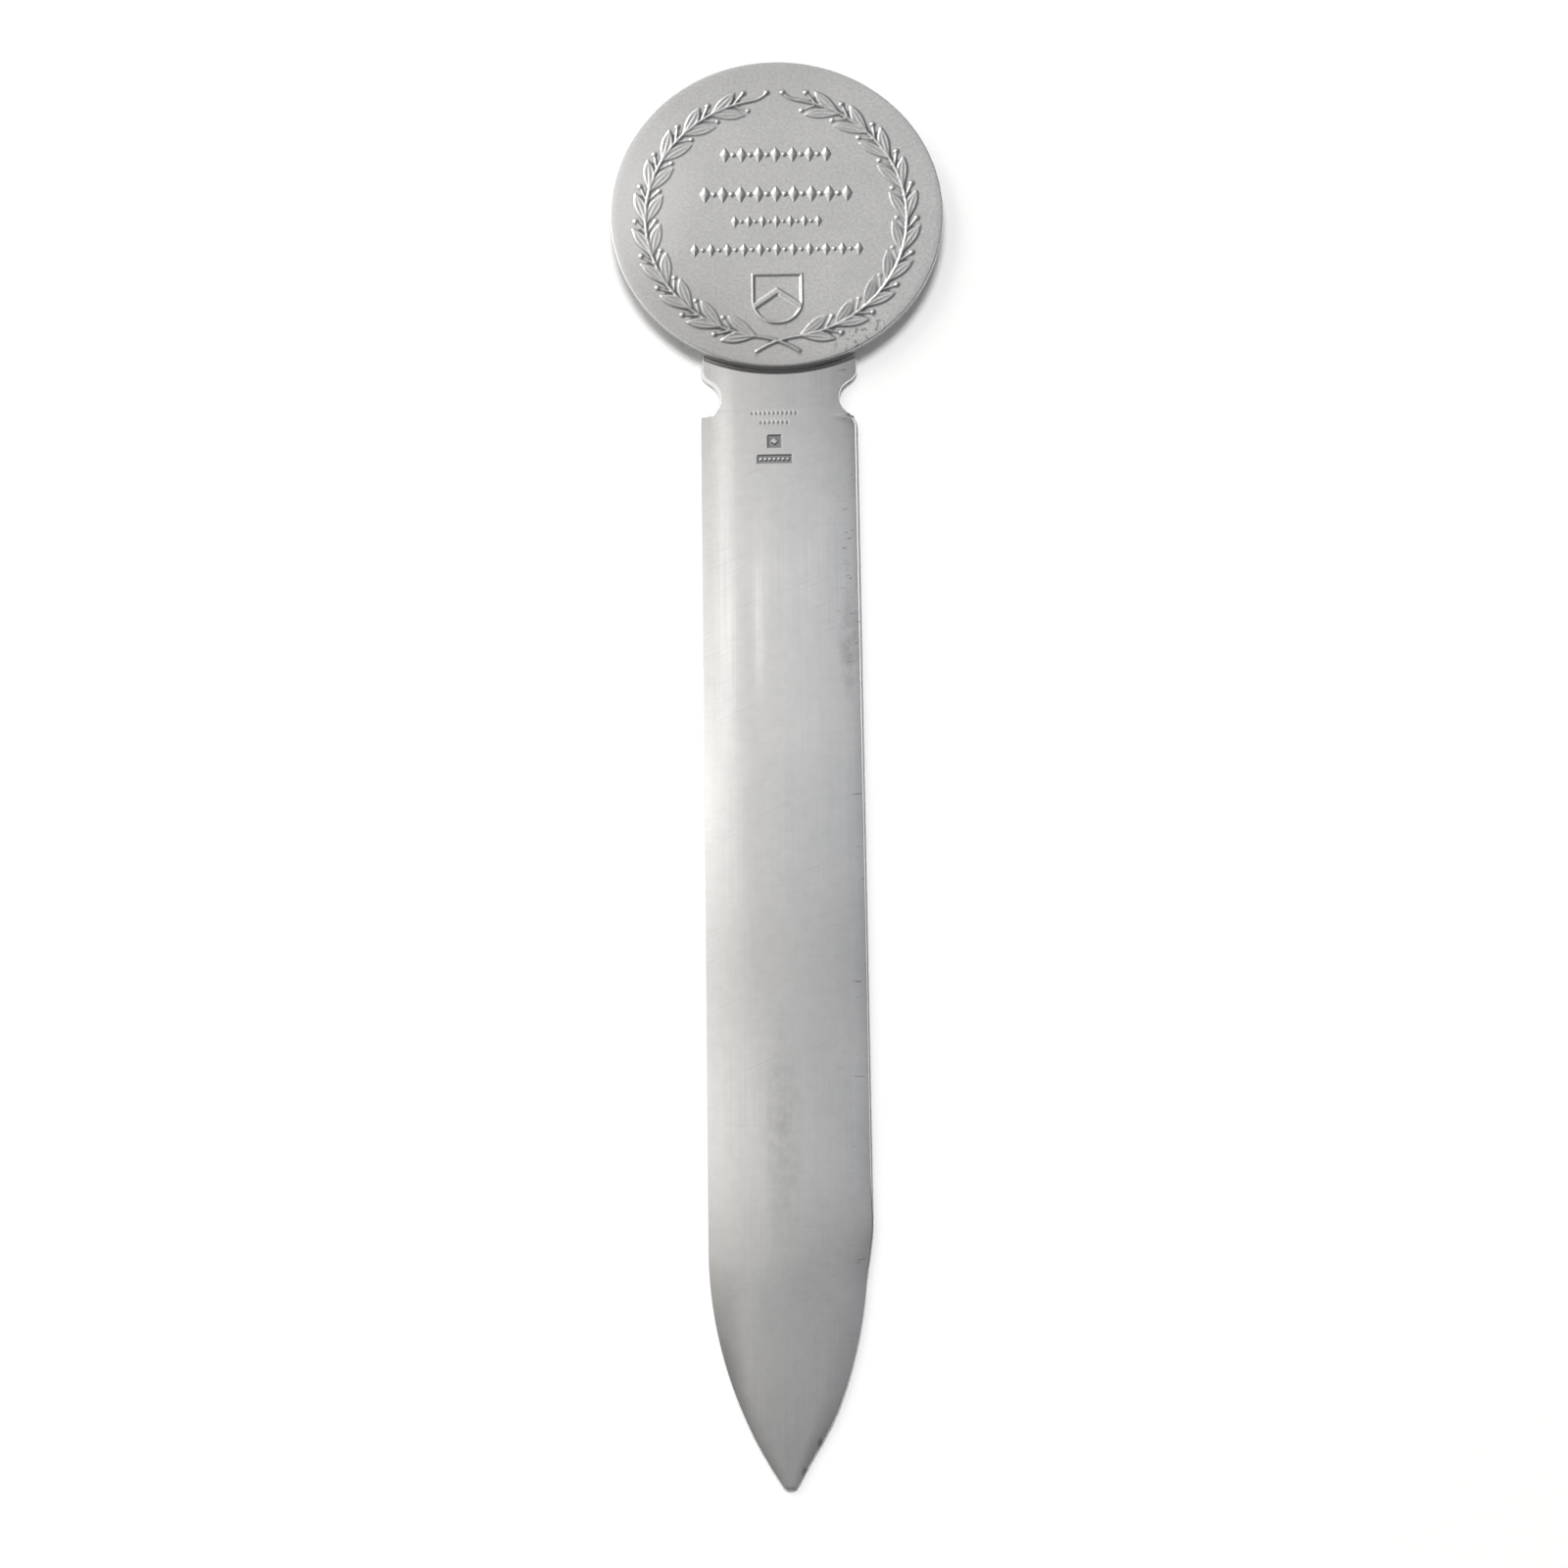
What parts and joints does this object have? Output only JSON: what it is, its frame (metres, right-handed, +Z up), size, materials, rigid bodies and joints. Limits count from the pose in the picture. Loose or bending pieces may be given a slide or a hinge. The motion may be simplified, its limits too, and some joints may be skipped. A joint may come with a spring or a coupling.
{
  "type": "letter opener",
  "caption": "Flat paper knife with a crowned, pointed blade, notched shoulders and a round struck medal with a wreath in relief soldered on its head as the grip.",
  "frame": {"origin": "under the middle of the knife's length and width, on the plane of the blade's flat back, which is the surface it lies on", "axes": "+Y runs along the knife from the blade's point to the medal, +Z is up through the medal's struck face, +X is across the blade"},
  "size_m": [0.05, 0.2158, 0.0037],
  "materials": {
    "blade_plate": "satin",
    "medal_plate": "satin",
    "solder": "satin"
  },
  "bodies": {
    "root": {"blade": "blade_plate", "medal": "medal_plate", "solder_joint": "solder"}
  },
  "joints": []
}
